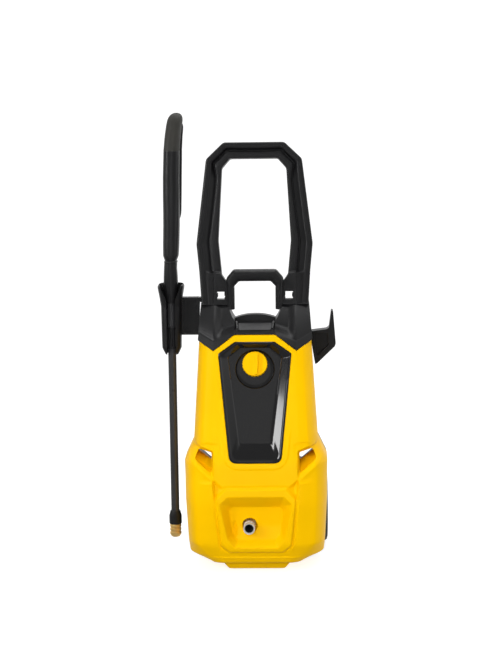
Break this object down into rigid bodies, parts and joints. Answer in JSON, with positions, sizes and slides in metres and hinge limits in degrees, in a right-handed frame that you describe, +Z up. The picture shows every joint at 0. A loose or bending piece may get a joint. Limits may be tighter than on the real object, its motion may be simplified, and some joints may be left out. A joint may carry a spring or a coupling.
{
  "type": "pressure washer",
  "caption": "Upright electric pressure washer: yellow casing, black push handle, transport wheels, control knob, front outlet, and a spray gun with lance in a side holder.",
  "frame": {"origin": "on the floor under the middle of the front foot, in the casing's plane of symmetry", "axes": "+Z up, -Y to the front where the outlet and the knob are, +X to the user's right as they face the front"},
  "size_m": [0.366, 0.341, 0.9284],
  "materials": {
    "yellow": "glossy moulded shell with a fine orange-peel surface",
    "black_plastic": "fine spark-eroded texture",
    "gloss_black": "high gloss",
    "grey_plastic": "satin",
    "soft_grip": "soft touch overmould",
    "rubber": "matt",
    "tyre": "matt",
    "brass": "turned",
    "steel": "zinc plated or ground",
    "lance_metal": "black coated tube",
    "outlet_metal": "nickel plated",
    "chrome": "hard chromed",
    "copper": "enamelled copper and steel laminations",
    "cast_aluminium": "die cast"
  },
  "bodies": {
    "chassis": {"front_shell": "yellow", "rear_shell": "black_plastic", "case_screws": "steel", "foot_pad": "rubber", "control_panel": "gloss_black", "rotary_switch": "grey_plastic", "top_cap": "black_plastic", "shoulder_left": "black_plastic", "shoulder_right": "black_plastic", "carry_grip": "black_plastic", "handle_front": "black_plastic", "handle_back": "black_plastic", "cable_gland": "black_plastic", "wheel_carrier": "black_plastic", "axle": "steel", "axle_retainers": "steel", "gun_holder": "black_plastic", "holder_bracket": "black_plastic", "accessory_hook": "black_plastic", "stator_core": "steel", "stator_windings": "copper", "motor_end_shields": "cast_aluminium", "motor_bearings": "steel", "brush_gear": "brass", "gear_case": "cast_aluminium", "pump_housing": "cast_aluminium", "pump_head": "cast_aluminium", "outlet_connector": "outlet_metal", "water_inlet": "grey_plastic", "vibration_mounts": "rubber"},
    "power_knob": {"power_knob": "yellow", "switch_shaft": "grey_plastic"},
    "wheel_left": {"tyre_left": "tyre", "hub_left": "grey_plastic", "hub_cap_left": "yellow"},
    "wheel_right": {"tyre_right": "tyre", "hub_right": "grey_plastic", "hub_cap_right": "yellow"},
    "rotor": {"rotor_shaft": "steel", "armature": "copper", "cooling_fan": "grey_plastic"},
    "swash": {"drive_gear": "steel", "swash_plate": "steel"},
    "piston_1": {"piston_1": "chrome"},
    "piston_2": {"piston_2": "chrome"},
    "piston_3": {"piston_3": "chrome"},
    "gun": {"gun_half_left": "black_plastic", "gun_half_right": "black_plastic", "soft_grip": "soft_grip", "gun_inlet": "brass", "supply_tube": "grey_plastic", "gun_fasteners": "steel", "gun_valve": "brass", "lance_tube": "lance_metal", "lance_end_collar": "black_plastic"},
    "trigger": {"trigger": "black_plastic"},
    "trigger_lock": {"trigger_lock": "grey_plastic"},
    "valve_pin": {"valve_pin": "steel"},
    "lance_collar": {"lance_collar": "black_plastic"},
    "nozzle": {"nozzle": "brass"}
  },
  "joints": [
    {"name": "power_knob_turn", "type": "hinge", "parent": "chassis", "child": "power_knob", "pos_m": [0, -0.0134, 0.42579], "axis": [0, 0.9701, -0.2425], "range_deg": [0, 90]},
    {"name": "wheel_left_roll", "type": "hinge", "parent": "chassis", "child": "wheel_left", "pos_m": [-0.1275, 0.185, 0.082], "axis": [1, 0, 0], "continuous": true},
    {"name": "wheel_right_roll", "type": "hinge", "parent": "chassis", "child": "wheel_right", "pos_m": [0.1275, 0.185, 0.082], "axis": [1, 0, 0], "continuous": true},
    {"name": "rotor_spin", "type": "hinge", "parent": "chassis", "child": "rotor", "pos_m": [0, 0.072, 0.26], "axis": [0, 0, 1], "continuous": true},
    {"name": "swash_spin", "type": "hinge", "parent": "chassis", "child": "swash", "pos_m": [0, 0.032, 0.14], "axis": [0, 0, 1], "continuous": true},
    {"name": "piston_1_stroke", "type": "slide", "parent": "chassis", "child": "piston_1", "axis": [0, 0, 1], "range_m": [-0.0065, 0], "stiffness_N_per_m": 2000, "springref_m": 0.001},
    {"name": "piston_2_stroke", "type": "slide", "parent": "chassis", "child": "piston_2", "axis": [0, 0, 1], "range_m": [-0.0065, 0], "stiffness_N_per_m": 2000, "springref_m": 0.001},
    {"name": "piston_3_stroke", "type": "slide", "parent": "chassis", "child": "piston_3", "axis": [0, 0, 1], "range_m": [-0.0065, 0], "stiffness_N_per_m": 2000, "springref_m": 0.001},
    {"name": "gun_lift", "type": "slide", "parent": "chassis", "child": "gun", "axis": [0, 0, 1], "range_m": [0, 0.55]},
    {"name": "trigger_pull", "type": "hinge", "parent": "gun", "child": "trigger", "pos_m": [-0.173, 0.096, 0.722], "axis": [1, 0, 0], "range_deg": [0, 8], "stiffness_Nm_per_rad": 0.6, "springref_deg": -8.59},
    {"name": "trigger_lock_swing", "type": "hinge", "parent": "trigger", "child": "trigger_lock", "pos_m": [-0.173, 0.0975, 0.8], "axis": [1, 0, 0], "range_deg": [-30, 0]},
    {"name": "valve_push", "type": "slide", "parent": "gun", "child": "valve_pin", "axis": [0, -1, 0], "range_m": [0, 0.0028]},
    {"name": "lance_collar_twist", "type": "hinge", "parent": "gun", "child": "lance_collar", "pos_m": [-0.173, 0.062, 0.469], "axis": [0, 0, 1], "range_deg": [0, 60]},
    {"name": "nozzle_twist", "type": "hinge", "parent": "gun", "child": "nozzle", "pos_m": [-0.173, 0.062, 0.058], "axis": [0, 0, 1], "continuous": true}
  ],
  "couplings": [
    {"joint": "swash_spin", "follows": "rotor_spin", "ratio": -0.33333},
    {"joint": "valve_push", "follows": "trigger_pull", "m_per_rad": 0.02}
  ]
}
